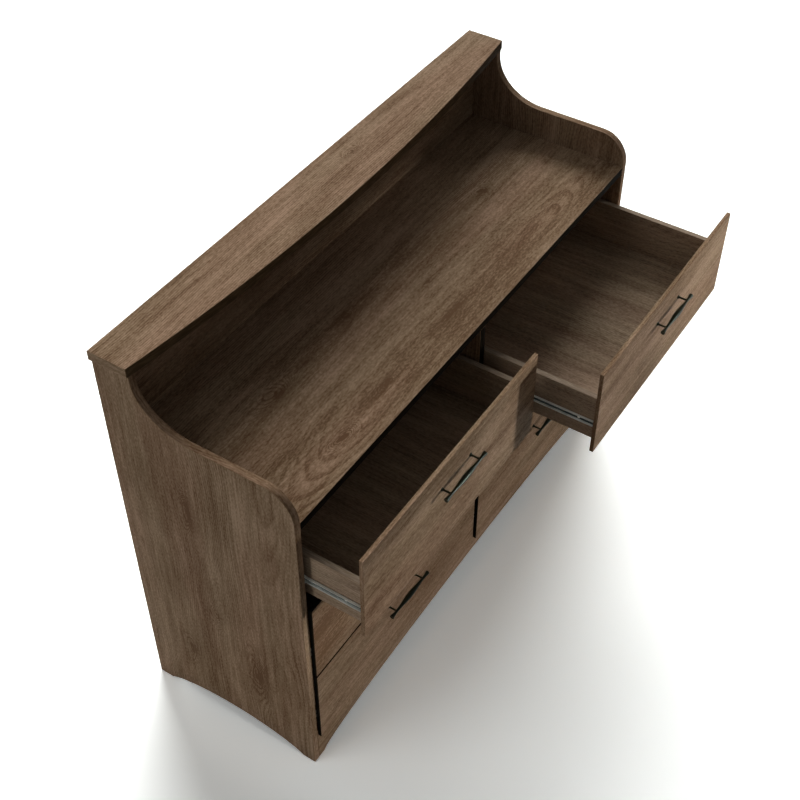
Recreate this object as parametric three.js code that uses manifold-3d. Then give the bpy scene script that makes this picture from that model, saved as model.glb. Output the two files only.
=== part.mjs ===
// Dresser with a raised top shelf: six drawers in two columns between side panels with an ogee top edge.
// Millimetres, +Z up. The front faces -Y and the drawers open towards -Y.
import * as THREE from 'three';
import { mergeVertices } from 'three/addons/utils/BufferGeometryUtils.js';
import Module from 'manifold-3d';

const wasm = await Module();
wasm.setup();

// Driving dimensions of the carcase
const bodyWidth = 1200; // across the outer faces of the side panels
const bodyDepth = 400; // from the front edge to the back edge of a side panel
const deckHeight = 734; // floor to the upper face of the main top
const hutchHeight = 172; // clear height between the main top and the top shelf
const sideThick = 15;
const deckThick = 18;
const shelfThick = 20;
const partitionThick = 18;
const boardThick = 15; // bottom board, apron, rear rail and hutch back
const backThick = 5;
const seam = 0.3; // gap where two pieces are fastened together

// Side panel outline
const crestRise = 68; // from the main top to the flat part of the panel's top edge
const cornerLength = 60; // front to back, over the rounded front corner
const cornerDrop = 65;
const sweepLength = 110; // front to back, over the sweep up to the shelf
const sweepUpright = 11; // upright edge between the sweep and the shelf
const frontFoot = 29; // lengths of the two feet under the panel
const backFoot = 33;
const sideArchRise = 34;
const sideArchFullness = 0.75;

// Top shelf
const shelfSideOverhang = 4;
const shelfBackOverhang = 2;
const shelfEndDepth = 82; // front to back at the shelf's ends
const shelfBow = 41; // how far the middle of the front edge stands out

// Base and hutch back
const baseHeight = 84; // floor to the underside of the bottom board
const apronFoot = 20;
const apronArchRise = 42;
const apronArchFullness = 0.5;
const rearRailHeight = 54;
const hutchBackInset = 10; // behind the hutch back, to the panels' back edges

// Drawer fronts
const frontThick = 8;
const bumperGap = 0.5; // behind a closed drawer front
const columnGap = 14; // between the two columns of fronts
const sideReveal = 0.3; // beside the outer edge of a front
const rowGap = 3; // between the lower and the middle fronts
const upperRowGap = 14; // between the middle and the upper fronts
const openUpperLeft = 113.5; // how far the two upper drawers stand open
const openUpperRight = 242;

// Drawer boxes
const boxHeight = 106;
const boxLift = 25; // from the bottom of a front to the bottom of its box
const boxRearSpace = 45; // from a closed box to the back panel
const boxSideThick = 12;
const boxBottomThick = 3;
const grooveRise = 8; // from the bottom of the box to the groove for its bottom board
const grooveDepth = 5;

// Ball bearing slides
const slideSpace = 8.5; // between a box side and the board that carries it
const slideSetback = 2; // from the carcase front to the slide's end
const slideRise = 42; // from the bottom of the box to the slide's middle
const channelHeight = 16;
const channelMargin = 1.2; // from the channel's edges to the box side
const channelSeat = 0.5; // depth that a channel is let into its board
const steelThick = 1.3;
const ballGap = 0.4; // between the channel and the rail, above and below
const railMargin = 1.8; // from the rail's edges to the channel's web

// Handles
const pullCentres = 96; // between the middles of the two posts
const pullOverhang = 18.5; // from the middle of a post to the end of the spindle
const pullStandoff = 20.2; // from the drawer front to the spindle's axis
const pullDrop = 54; // from the top of a front to the spindle's axis
const bellyRadius = 5.6;
const neckRadius = 2.7;
const endRadius = 4.6;
const endCrown = 0.8;
const postRadius = 2;
const postFootRadius = 4.2;
const postFootHeight = 5;
const bellyShares = [[1, 0], [0.8, 0.14], [0.5, 0.5], [0.22, 0.86], [0, 1]]; // along the neck, of the swell
const flareShares = [[0.35, 0.25], [0.75, 0.7], [1, 1]]; // along the overhang, of the flare
const pullSides = 12;
const postSides = 8;

// Counts of steps on curved edges
const archSteps = 18;
const cornerSteps = 8;
const bowSteps = 14;

// Places that follow from the driving dimensions
const halfWidth = bodyWidth / 2;
const innerHalf = halfWidth - sideThick;
const deckUnderside = deckHeight - deckThick;
const shelfUnderside = deckHeight + hutchHeight;
const crestHeight = deckHeight + crestRise;
const baseTop = baseHeight + boardThick;
const backPlane = bodyDepth - backThick;
const backmost = bodyDepth + shelfBackOverhang;
const shelfCorner = backmost - shelfEndDepth;
const rowNames = ['lower', 'middle', 'upper'];
const frontHeight = (deckUnderside - baseHeight - rowGap - upperRowGap) / rowNames.length;
const rowBottoms = {
  lower: baseHeight,
  middle: baseHeight + frontHeight + rowGap,
  upper: deckUnderside - frontHeight,
};
const frontFace = -bumperGap - frontThick;
const boxStart = seam - bumperGap;
const boxEnd = backPlane - boxRearSpace;
const spindleReach = pullStandoff + bellyRadius;
const frontmost = frontFace - Math.max(openUpperRight, openUpperLeft) - spindleReach;
const middleDepth = (frontmost + backmost) / 2;

// Finishes
function oak() {
  return new THREE.MeshStandardMaterial({ color: 0x7a624c, roughness: 0.6, metalness: 0 });
}
function darkBronze() {
  return new THREE.MeshStandardMaterial({ color: 0x2b2a28, roughness: 0.45, metalness: 0.6 });
}
function zincSteel() {
  return new THREE.MeshStandardMaterial({ color: 0xc4c8c6, roughness: 0.35, metalness: 1 });
}

// Axes for shapes drawn in depth and height, and for shapes drawn in width and height
const alongX = new THREE.Matrix4().makeBasis(
  new THREE.Vector3(0, 1, 0), new THREE.Vector3(0, 0, 1), new THREE.Vector3(1, 0, 0));
const alongY = new THREE.Matrix4().makeBasis(
  new THREE.Vector3(1, 0, 0), new THREE.Vector3(0, 0, 1), new THREE.Vector3(0, -1, 0));

function named(name, geometry, material) {
  const mesh = new THREE.Mesh(geometry, material);
  mesh.name = name;
  return mesh;
}

// A straight board given by its limits along X, Y and Z
function board(name, [x0, x1], [y0, y1], [z0, z1]) {
  const mesh = named(name, new THREE.BoxGeometry(x1 - x0, y1 - y0, z1 - z0), oak());
  mesh.position.set((x0 + x1) / 2, (y0 + y1) / 2, (z0 + z1) / 2);
  return mesh;
}

function outline(points) {
  return new THREE.Shape(points.map(([u, v]) => new THREE.Vector2(u, v)));
}

function extruded(shape, depth, steps = 1) {
  return new THREE.ExtrudeGeometry(shape, { depth, bevelEnabled: false, curveSegments: steps });
}

// A shape drawn in depth and height, given its thickness from x0 to x1
function acrossBody(shape, [x0, x1], steps) {
  return extruded(shape, x1 - x0, steps).applyMatrix4(alongX).translate(x0, 0, 0);
}

// A shape drawn in width and height, given its length from y0 to y1
function frontToBack(shape, [y0, y1]) {
  return extruded(shape, y1 - y0).applyMatrix4(alongY).translate(0, y1, 0);
}

function inOrder(a, b) {
  return [Math.min(a, b), Math.max(a, b)];
}

function toSolid(geometry) {
  const bare = geometry.clone();
  bare.deleteAttribute('normal');
  bare.deleteAttribute('uv');
  const merged = mergeVertices(bare);
  return new wasm.Manifold(new wasm.Mesh({
    numProp: 3,
    vertProperties: new Float32Array(merged.attributes.position.array),
    triVerts: new Uint32Array(merged.index.array),
  }));
}

function joined(geometries) {
  const solids = geometries.map(toSolid);
  const whole = solids.reduce((sum, solid) => sum.add(solid));
  const mesh = whole.getMesh();
  const geometry = new THREE.BufferGeometry();
  geometry.setAttribute('position', new THREE.BufferAttribute(new Float32Array(mesh.vertProperties), 3));
  geometry.setIndex(new THREE.BufferAttribute(new Uint32Array(mesh.triVerts), 1));
  geometry.computeVertexNormals();
  return geometry;
}

// Points of a low arch from one foot to the other: height = rise * (1 - u^2)^fullness
function archPoints(start, end, rise, fullness) {
  const middle = (start + end) / 2;
  const half = (end - start) / 2;
  const points = [];
  for (let i = 0; i <= archSteps; i += 1) {
    const u = -Math.cos((Math.PI * i) / archSteps);
    points.push([middle + half * u, rise * Math.pow(Math.max(0, 1 - u * u), fullness)]);
  }
  return points;
}

// The side panel in depth and height: arched bottom, upright back, sweep down to the crest, rounded corner
function sidePanelShape() {
  const shape = outline(archPoints(frontFoot, bodyDepth - backFoot, sideArchRise, sideArchFullness));
  const panelTop = shelfUnderside - seam;
  const sweepTop = panelTop - sweepUpright;
  const crestEnd = shelfCorner - sweepLength;
  const cornerBase = crestHeight - cornerDrop;
  shape.lineTo(bodyDepth, 0);
  shape.lineTo(bodyDepth, panelTop);
  shape.lineTo(shelfCorner, panelTop);
  shape.lineTo(shelfCorner, sweepTop);
  shape.absellipse(crestEnd, sweepTop, sweepLength, sweepTop - crestHeight, 0, -Math.PI / 2, true, 0);
  shape.lineTo(cornerLength, crestHeight);
  shape.absellipse(cornerLength, cornerBase, cornerLength, cornerDrop, Math.PI / 2, Math.PI, false, 0);
  shape.lineTo(0, 0);
  return shape;
}

// Cabinet half of a slide: a channel on a board's face, its edges turned in the direction of outward
function channel(face, outward, middle) {
  const half = channelHeight / 2;
  const inner = half - steelThick;
  const depth = slideSpace - channelMargin;
  const profile = [
    [-channelSeat, -half], [depth, -half], [depth, -inner], [steelThick, -inner],
    [steelThick, inner], [depth, inner], [depth, half], [-channelSeat, half],
  ].map(([out, up]) => [face + outward * out, middle + up]);
  return frontToBack(outline(profile), [slideSetback, boxEnd]);
}

function channelsOn(face, outward) {
  return rowNames.map((row) => channel(face, outward, rowBottoms[row] + boxLift + slideRise));
}

function sidePanel(name, hand) {
  const inner = hand * innerHalf;
  const panel = acrossBody(sidePanelShape(), inOrder(inner, hand * halfWidth), cornerSteps);
  return named(name, joined([panel, ...channelsOn(inner, -hand)]), oak());
}

function centrePartition() {
  const half = partitionThick / 2;
  const back = backPlane - seam;
  const bottom = baseTop + seam;
  const top = deckUnderside - seam;
  const panel = acrossBody(outline([[0, bottom], [back, bottom], [back, top], [0, top]]), [-half, half]);
  return named('centre_partition', joined([panel, ...channelsOn(-half, -1), ...channelsOn(half, 1)]), oak());
}

// The bow-fronted shelf in width and depth: its front edge is one arc between the two front corners
function topShelf() {
  const half = halfWidth + shelfSideOverhang;
  const radius = (half * half + shelfBow * shelfBow) / (2 * shelfBow);
  const centre = shelfCorner - shelfBow + radius;
  const spread = Math.asin(half / radius);
  const shape = outline([[half, shelfCorner], [half, backmost], [-half, backmost], [-half, shelfCorner]]);
  shape.absarc(0, centre, radius, -Math.PI / 2 - spread, -Math.PI / 2 + spread, false);
  return named('top_shelf', extruded(shape, shelfThick, bowSteps).translate(0, 0, shelfUnderside), oak());
}

function baseApron() {
  const half = innerHalf - seam;
  const arch = archPoints(apronFoot - half, half - apronFoot, apronArchRise, apronArchFullness);
  const shape = outline([...arch, [half, 0], [half, baseTop], [-half, baseTop], [-half, 0]]);
  return named('base_apron', frontToBack(shape, [0, boardThick]), oak());
}

function carcase() {
  const between = [seam - innerHalf, innerHalf - seam];
  const inFrontOfBack = backPlane - seam;
  const hutchBackFace = bodyDepth - hutchBackInset;
  const group = new THREE.Group();
  group.add(sidePanel('side_left', -1));
  group.add(sidePanel('side_right', 1));
  group.add(centrePartition());
  group.add(topShelf());
  group.add(baseApron());
  group.add(board('main_top', between, [0, bodyDepth], [deckUnderside, deckHeight]));
  group.add(board('hutch_back', between, [hutchBackFace - boardThick, hutchBackFace],
    [deckHeight + seam, shelfUnderside - seam]));
  group.add(board('bottom_panel', between, [boardThick + seam, inFrontOfBack], [baseHeight, baseTop]));
  group.add(board('back_panel', between, [backPlane, bodyDepth], [baseHeight, deckUnderside - seam]));
  group.add(board('rear_base_rail', between, [inFrontOfBack - boardThick, inFrontOfBack],
    [baseHeight - rearRailHeight, baseHeight - seam]));
  return group;
}

// A box side with the groove that the bottom board slides into; inward points to the middle of the box
function boxSide(name, outerFace, inward, bottom) {
  const innerFace = outerFace + inward * boxSideThick;
  const grooveFace = innerFace - inward * grooveDepth;
  const grooveBase = bottom + grooveRise;
  const grooveTop = grooveBase + boxBottomThick + 2 * seam;
  const top = bottom + boxHeight;
  const shape = outline([
    [outerFace, bottom], [innerFace, bottom], [innerFace, grooveBase], [grooveFace, grooveBase],
    [grooveFace, grooveTop], [innerFace, grooveTop], [innerFace, top], [outerFace, top],
  ]);
  return named(name, frontToBack(shape, [boxStart, boxEnd]), oak());
}

// Drawer half of a slide: a shallow channel on the box side, its edges turned outward
function drawerRail(name, boxFace, outward, middle) {
  const half = channelHeight / 2 - steelThick - ballGap;
  const inner = half - steelThick;
  const web = seam + steelThick;
  const depth = slideSpace - steelThick - railMargin;
  const profile = [
    [seam, -half], [depth, -half], [depth, -inner], [web, -inner],
    [web, inner], [depth, inner], [depth, half], [seam, half],
  ].map(([out, up]) => [boxFace + outward * out, middle + up]);
  return named(name, frontToBack(outline(profile), [slideSetback, boxEnd]), zincSteel());
}

// Half of the spindle's profile, from its middle to one end, as radius and distance from the middle
function spindleProfile() {
  const neck = pullCentres / 2;
  const end = neck + pullOverhang;
  const belly = bellyShares.map(([along, swell]) => [neckRadius + (bellyRadius - neckRadius) * swell, neck * along]);
  const flare = flareShares.map(([along, grow]) =>
    [neckRadius + (endRadius - neckRadius) * grow, neck + (pullOverhang - endCrown) * along]);
  return [...belly.reverse(), ...flare, [endRadius - endCrown, end], [0, end]];
}

function lathed(profile, sides) {
  return new THREE.LatheGeometry(profile.map(([radius, along]) => new THREE.Vector2(radius, along)), sides);
}

// A bar handle in one casting: a turned spindle on two posts
function pull(name, x, z) {
  const half = spindleProfile();
  const mirrored = half.slice(1).map(([radius, along]) => [radius, -along]).reverse();
  const spindle = lathed([...mirrored, ...half], pullSides);
  spindle.rotateZ(-Math.PI / 2).translate(x, frontFace - pullStandoff, z);
  const reach = pullStandoff - seam;
  const postProfile = [[0, 0], [postFootRadius, 0], [postRadius, postFootHeight], [postRadius, reach], [0, reach]];
  const posts = [-1, 1].map((hand) => lathed(postProfile, postSides).rotateX(Math.PI)
    .translate(x + (hand * pullCentres) / 2, frontFace - seam, z));
  return named(name, joined([spindle, ...posts]), darkBronze());
}

// One drawer in its closed place, then drawn out; hand is -1 in the left column and 1 in the right
function drawer(row, column, hand, open) {
  const label = `${row}_${column}`;
  const bottom = rowBottoms[row];
  const top = bottom + frontHeight;
  const [frontLeft, frontRight] = inOrder(hand * (columnGap / 2), hand * (innerHalf - sideReveal));
  const [leftCarrier, rightCarrier] = inOrder(hand * (partitionThick / 2), hand * innerHalf);
  const boxLeft = leftCarrier + slideSpace;
  const boxRight = rightCarrier - slideSpace;
  const boxBottom = bottom + boxLift;
  const floorBase = boxBottom + grooveRise + seam;
  const floorTop = floorBase + boxBottomThick;
  const floorInset = boxSideThick - grooveDepth + seam;
  const backInset = boxSideThick + seam;
  const slideMiddle = boxBottom + slideRise;
  const group = new THREE.Group();
  group.add(board(`${label}_front`, [frontLeft, frontRight], [frontFace, -bumperGap], [bottom, top]));
  group.add(boxSide(`${label}_box_left`, boxLeft, 1, boxBottom));
  group.add(boxSide(`${label}_box_right`, boxRight, -1, boxBottom));
  group.add(board(`${label}_box_back`, [boxLeft + backInset, boxRight - backInset],
    [boxEnd - boxSideThick, boxEnd], [floorTop + seam, boxBottom + boxHeight]));
  group.add(board(`${label}_box_bottom`, [boxLeft + floorInset, boxRight - floorInset],
    [boxStart, boxEnd], [floorBase, floorTop]));
  group.add(drawerRail(`${label}_rail_left`, boxLeft, -1, slideMiddle));
  group.add(drawerRail(`${label}_rail_right`, boxRight, 1, slideMiddle));
  group.add(pull(`${label}_handle`, (frontLeft + frontRight) / 2, top - pullDrop));
  group.position.y = -open;
  return group;
}

const dresser = new THREE.Group();
dresser.add(carcase());
for (const row of rowNames) {
  dresser.add(drawer(row, 'left', -1, row === 'upper' ? openUpperLeft : 0));
  dresser.add(drawer(row, 'right', 1, row === 'upper' ? openUpperRight : 0));
}
dresser.position.y = -middleDepth;

export default dresser;
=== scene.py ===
# Dresser with a raised top shelf: oak-grain laminate boards, black bar handles, ball bearing slides.
from math import pi, radians

import bpy
import numpy as np
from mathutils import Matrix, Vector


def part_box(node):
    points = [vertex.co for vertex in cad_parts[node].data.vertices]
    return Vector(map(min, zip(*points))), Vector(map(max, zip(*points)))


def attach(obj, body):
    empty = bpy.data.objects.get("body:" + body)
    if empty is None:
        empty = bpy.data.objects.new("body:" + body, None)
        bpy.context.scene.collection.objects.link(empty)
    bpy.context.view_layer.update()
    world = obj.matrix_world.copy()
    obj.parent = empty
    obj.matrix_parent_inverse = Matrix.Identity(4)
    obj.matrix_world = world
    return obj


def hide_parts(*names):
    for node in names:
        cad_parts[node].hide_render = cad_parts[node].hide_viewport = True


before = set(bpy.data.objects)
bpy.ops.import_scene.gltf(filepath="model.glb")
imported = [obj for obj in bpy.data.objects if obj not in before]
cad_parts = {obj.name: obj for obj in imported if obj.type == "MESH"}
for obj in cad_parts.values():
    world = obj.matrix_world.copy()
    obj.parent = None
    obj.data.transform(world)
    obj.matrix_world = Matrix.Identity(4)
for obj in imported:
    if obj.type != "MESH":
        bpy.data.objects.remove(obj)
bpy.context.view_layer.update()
scene = bpy.context.scene
scene.view_settings.view_transform = "Standard"
mm = 0.001
print("frame loaded:", len(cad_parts), "nodes")


def addObject(name, data):
    thing = bpy.data.objects.new(name, data)
    scene.collection.objects.link(thing)
    return thing


# Camera, found from the straight edges of the carcase and the open drawers in the photograph
camera = {"position": (-1.64778, -0.94646, 2.40267), "azimuth": -56.972, "elevation": 45.259, "lens": 59.86,
          "sensor": 36, "farEnd": 200}

cameraData = bpy.data.cameras.new("camera")
cameraData.sensor_width = camera["sensor"]
cameraData.lens = camera["lens"]
cameraData.clip_end = camera["farEnd"]
cameraObject = addObject("camera", cameraData)
cameraObject.location = camera["position"]
cameraObject.rotation_euler = (radians(90 - camera["elevation"]), 0, radians(camera["azimuth"]))
scene.camera = cameraObject


# Small helpers for shader nodes

def newGroup(name, inputs, outputs):
    group = bpy.data.node_groups.new(name, "ShaderNodeTree")
    for socketName, kind, value in inputs:
        socket = group.interface.new_socket(name=socketName, in_out="INPUT", socket_type="NodeSocket" + kind)
        if value is not None:
            socket.default_value = value
    for socketName, kind in outputs:
        group.interface.new_socket(name=socketName, in_out="OUTPUT", socket_type="NodeSocket" + kind)
    return group, group.nodes.new("NodeGroupInput"), group.nodes.new("NodeGroupOutput")


def addNode(tree, kind, inputs=None, **settings):
    node = tree.nodes.new("ShaderNode" + kind)
    for key, value in settings.items():
        setattr(node, key, value)
    for key, value in (inputs or {}).items():
        socket = node.inputs[key]
        if isinstance(value, bpy.types.NodeSocket):
            tree.links.new(value, socket)
        else:
            socket.default_value = value
    return node


def maths(tree, operation, a, b=0.5, c=0.5, clamp=False):
    return addNode(tree, "Math", {0: a, 1: b, 2: c}, operation=operation, use_clamp=clamp).outputs[0]


def vectorMaths(tree, operation, a, b):
    return addNode(tree, "VectorMath", {0: a, 1: b}, operation=operation).outputs[0]


def noise(tree, vector, scale, detail=2.0, roughness=0.5):
    node = addNode(tree, "TexNoise", {"Vector": vector, "Scale": scale, "Detail": detail, "Roughness": roughness})
    return node.outputs["Fac"]


def remap(tree, value, fromLow, fromHigh, toLow=0.0, toHigh=1.0):
    node = addNode(tree, "MapRange", {"Value": value, "From Min": fromLow, "From Max": fromHigh,
                                      "To Min": toLow, "To Max": toHigh}, interpolation_type="SMOOTHSTEP")
    return node.outputs["Result"]


def mixColours(tree, factor, a, b, blend="MIX"):
    node = addNode(tree, "Mix", {0: factor, 6: a, 7: b}, data_type="RGBA", blend_type=blend)
    return node.outputs[2]


def newMaterial(name):
    material = bpy.data.materials.new(name)
    material.use_nodes = True
    tree = material.node_tree
    return material, tree, tree.nodes["Principled BSDF"]


def dressShader(tree, shader, colour, height, finish, roughness=None):
    # The roughness follows the height unless it is given
    if roughness is None:
        roughness = remap(tree, height, 0.2, 0.8, *finish["roughness"])
    bump = addNode(tree, "Bump", {"Height": height, "Strength": finish["relief"], "Distance": finish["reliefDepth"]})
    tree.links.new(colour, shader.inputs["Base Color"])
    tree.links.new(roughness, shader.inputs["Roughness"])
    tree.links.new(bump.outputs["Normal"], shader.inputs["Normal"])
    shader.inputs["Specular IOR Level"].default_value = finish["sheen"]


# Oak grain. Along is the distance along the grain, across is over the board, seed tells the boards apart.
# Tone is a sum of stretched noises, from wide bands to pores. Growth rings are cut by the board at a slant:
# ring = sqrt(across^2 + depth^2) / spacing, and they bend and darken round each knot.
grainLayers = {
    "bands": {"lengthwise": 1.1, "crosswise": 15, "detail": 2, "strength": 0.95},
    "patches": {"lengthwise": 7, "crosswise": 20, "detail": 3, "strength": 0.75},
    "streaks": {"lengthwise": 5, "crosswise": 95, "detail": 3, "strength": 0.9},
    "lines": {"lengthwise": 14, "crosswise": 200, "detail": 2, "strength": 0.9},
    "ticks": {"lengthwise": 150, "crosswise": 400, "detail": 1, "strength": 1.25},
    "fibres": {"lengthwise": 140, "crosswise": 1100, "detail": 1, "strength": 0.4},
}
# Bend, depth and ragged are noises: cycles along, cycles across, and how far each moves the rings, in metres.
# Late wood darkens each ring from lateStart to lateFull of its width, and ends at lateEnd.
grainRings = {"bend": (1.7, 4.0, 0.14), "depth": (0.8, 0.8, 0.2), "middleDepth": 0.08, "ragged": (7.0, 20.0, 0.006),
              "lateStart": 0.35, "lateFull": 0.85, "lateEnd": 0.9, "level": 0.3}
grainFigure = {"cycles": (1.5, 6.0), "low": 0.2, "high": 0.9, "atKnots": 0.9, "knotTone": -0.2, "coreTone": -0.4,
               "poreDepth": 1.5, "polishSlope": -0.12, "polish": 0.55}
grainTints = {"cycles": (2.2, 13.0), "plain": (0.99, 1.006, 0.985, 1), "ruddy": (1.02, 0.985, 0.98, 1)}


def makeOakFigure():
    # distance = length((grain - place) * reach + wobble); bend falls from 1 at the middle to 0 at distance 1
    group, given, result = newGroup("oakFigure", [
        ("Grain", "Vector", None), ("Place", "Vector", None), ("Reach", "Vector", None), ("Wobble", "Vector", None),
    ], [("Bend", "Float"), ("Core", "Float")])
    offset = vectorMaths(group, "MULTIPLY", vectorMaths(group, "SUBTRACT", given.outputs["Grain"],
                                                        given.outputs["Place"]), given.outputs["Reach"])
    offset = vectorMaths(group, "ADD", offset, given.outputs["Wobble"])
    distance = addNode(group, "VectorMath", {0: offset}, operation="LENGTH").outputs["Value"]
    group.links.new(remap(group, distance, 1.0, 0.1), result.inputs["Bend"])
    group.links.new(remap(group, distance, 0.34, 0.04), result.inputs["Core"])
    return group


def makeOakGrain():
    group, given, result = newGroup("oakGrain", [
        ("Grain", "Vector", None), ("Bend", "Float", 0.0), ("Core", "Float", 0.0), ("Shade", "Float", 0.0),
        ("Dark", "Color", None), ("Middle", "Color", None), ("Light", "Color", None),
        ("Ring Spacing", "Float", 0.007), ("Ring Strength", "Float", 0.5), ("Knot Size", "Float", 0.03),
    ], [("Colour", "Color"), ("Height", "Float"), ("Polish", "Float")])
    grain = given.outputs["Grain"]
    across = addNode(group, "SeparateXYZ", {0: grain}).outputs["Y"]

    def stretched(lengthwise, crosswise):
        return vectorMaths(group, "MULTIPLY", grain, (lengthwise, crosswise, 1.0))

    def unevenness(lengthwise, crosswise, detail):
        return maths(group, "SUBTRACT", noise(group, stretched(lengthwise, crosswise), 1.0, detail), 0.5)

    def moved(key, value):
        lengthwise, crosswise, reach = grainRings[key]
        return maths(group, "MULTIPLY_ADD", unevenness(lengthwise, crosswise, 1), reach, value)

    bend = given.outputs["Bend"]
    bentAcross = moved("bend", across)
    depth = moved("depth", grainRings["middleDepth"])
    radius = maths(group, "SQRT", maths(group, "ADD", maths(group, "MULTIPLY", bentAcross, bentAcross),
                                        maths(group, "MULTIPLY", depth, depth)))
    radius = moved("ragged", maths(group, "MULTIPLY_ADD", bend, given.outputs["Knot Size"], radius))
    rings = maths(group, "FRACT", maths(group, "DIVIDE", radius, given.outputs["Ring Spacing"]))
    lateWood = maths(group, "MULTIPLY", remap(group, rings, grainRings["lateStart"], grainRings["lateFull"]),
                     remap(group, rings, 1.0, grainRings["lateEnd"]))
    figured = remap(group, noise(group, stretched(*grainFigure["cycles"]), 1.0, 1.0), 0.4, 0.62,
                    grainFigure["low"], grainFigure["high"])
    figured = maths(group, "MULTIPLY_ADD", bend, grainFigure["atKnots"], figured)
    ringShade = maths(group, "MULTIPLY", maths(group, "SUBTRACT", grainRings["level"], lateWood),
                      given.outputs["Ring Strength"])
    ringShade = maths(group, "MULTIPLY", ringShade, figured)

    layers = {name: unevenness(layer["lengthwise"], layer["crosswise"], layer["detail"])
              for name, layer in grainLayers.items()}
    tone = maths(group, "ADD", maths(group, "ADD", ringShade, 0.5), given.outputs["Shade"])
    for name, layer in grainLayers.items():
        tone = maths(group, "MULTIPLY_ADD", layers[name], layer["strength"], tone)
    tone = maths(group, "MULTIPLY_ADD", bend, grainFigure["knotTone"], tone)
    tone = maths(group, "MULTIPLY_ADD", given.outputs["Core"], grainFigure["coreTone"], tone, clamp=True)

    # Dark to middle over the lower half of the tone, middle to light over the upper half
    lower = mixColours(group, maths(group, "MULTIPLY", tone, 2.0, clamp=True), given.outputs["Dark"],
                       given.outputs["Middle"])
    colour = mixColours(group, maths(group, "MULTIPLY_ADD", tone, 2.0, -1.0, clamp=True), lower,
                        given.outputs["Light"])
    ruddy = remap(group, noise(group, stretched(*grainTints["cycles"]), 1.0, 2.0), 0.36, 0.64)
    tint = mixColours(group, ruddy, grainTints["plain"], grainTints["ruddy"])
    colour = mixColours(group, 1.0, colour, tint, "MULTIPLY")
    pores = maths(group, "MINIMUM", layers["fibres"], layers["ticks"])
    height = maths(group, "MULTIPLY_ADD", pores, grainFigure["poreDepth"], ringShade)
    polish = maths(group, "MULTIPLY_ADD", tone, grainFigure["polishSlope"], grainFigure["polish"])
    group.links.new(colour, result.inputs["Colour"])
    group.links.new(height, result.inputs["Height"])
    group.links.new(polish, result.inputs["Polish"])
    return group


oakFigure = makeOakFigure()
oakGrain = makeOakGrain()


def makeOak(name, finish, knots=(), tonePatchesAndPaintedLight=()):
    # Each knot: (along, across, length, width), metres on the board; a tone patch has an amount of tone too.
    # Some patches follow the wood's figure; others are painted light and painted shade, noted at each board.
    material, tree, shader = newMaterial(name)
    grain = addNode(tree, "Attribute", attribute_name="grain").outputs["Vector"]
    wood = tree.nodes.new("ShaderNodeGroup")
    wood.node_tree = oakGrain
    tree.links.new(grain, wood.inputs["Grain"])
    if knots or tonePatchesAndPaintedLight:
        wobble = addNode(tree, "TexNoise", {"Vector": vectorMaths(tree, "MULTIPLY", grain, (9.0, 22.0, 1.0)),
                                            "Scale": 1.0, "Detail": 1.0}).outputs["Color"]
        wobble = vectorMaths(tree, "MULTIPLY", vectorMaths(tree, "SUBTRACT", wobble, (0.5, 0.5, 0.5)),
                             (0.9, 0.9, 0.0))

    def figureAt(along, across, length, width):
        figure = tree.nodes.new("ShaderNodeGroup")
        figure.node_tree = oakFigure
        tree.links.new(grain, figure.inputs["Grain"])
        tree.links.new(wobble, figure.inputs["Wobble"])
        figure.inputs["Place"].default_value = (along, across, 0)
        figure.inputs["Reach"].default_value = (2 / length, 2 / width, 0)
        return figure.outputs["Bend"], figure.outputs["Core"]

    bend = core = shade = None
    for knot in knots:
        knotBend, knotCore = figureAt(*knot)
        bend = knotBend if bend is None else maths(tree, "MAXIMUM", bend, knotBend)
        core = knotCore if core is None else maths(tree, "MAXIMUM", core, knotCore)
    for *place, amount in tonePatchesAndPaintedLight:
        spread = maths(tree, "MULTIPLY", figureAt(*place)[0], amount)
        shade = spread if shade is None else maths(tree, "ADD", shade, spread)
    for socket, value in (("Bend", bend), ("Core", core), ("Shade", shade)):
        if value is not None:
            tree.links.new(value, wood.inputs[socket])
    for socket, key in (("Dark", "dark"), ("Middle", "middle"), ("Light", "light")):
        wood.inputs[socket].default_value = (*finish[key], 1)
    wood.inputs["Ring Spacing"].default_value = finish["ringSpacing"]
    wood.inputs["Ring Strength"].default_value = finish["ringStrength"]
    wood.inputs["Knot Size"].default_value = finish["knotSize"]
    dressShader(tree, shader, wood.outputs["Colour"], wood.outputs["Height"], finish, wood.outputs["Polish"])
    return material


boardFinish = {"dark": (0.110, 0.061, 0.033), "middle": (0.202, 0.132, 0.080), "light": (0.307, 0.210, 0.140),
               "ringSpacing": 0.0048, "ringStrength": 0.42, "knotSize": 0.03, "relief": 0.4,
               "reliefDepth": 0.0004, "sheen": 0.03}
drawerFinish = {**boardFinish, "dark": (0.128, 0.086, 0.056), "middle": (0.225, 0.163, 0.110),
                "light": (0.315, 0.236, 0.166), "ringStrength": 0.25}
oakBoards = makeOak("oakBoards", boardFinish)
# The deck's dark band across its middle and light band near its front are partly its figure, partly painted shade and
# painted light: lighter at the front, darker further back
oakDeck = makeOak(
    "oakDeck", boardFinish,
    knots=[(-0.37, 0.146, 0.14, 0.05), (-0.13, 0.158, 0.09, 0.04), (0.04, 0.085, 0.035, 0.022),
           (0.51, 0.083, 0.035, 0.024), (0.35, 0.143, 0.10, 0.05), (-0.395, -0.012, 0.13, 0.04),
           (-0.24, -0.001, 0.11, 0.035), (0.09, -0.024, 0.06, 0.025), (0.2, -0.02, 0.05, 0.02)],
    tonePatchesAndPaintedLight=[(-0.05, 0.16, 1.1, 0.13, -0.16), (0, 0.045, 1.4, 0.09, 0.17), (0.45, 0.10, 0.3, 0.16, 0.08),
            (-0.1, -0.004, 1.0, 0.05, -0.10)])
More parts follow.
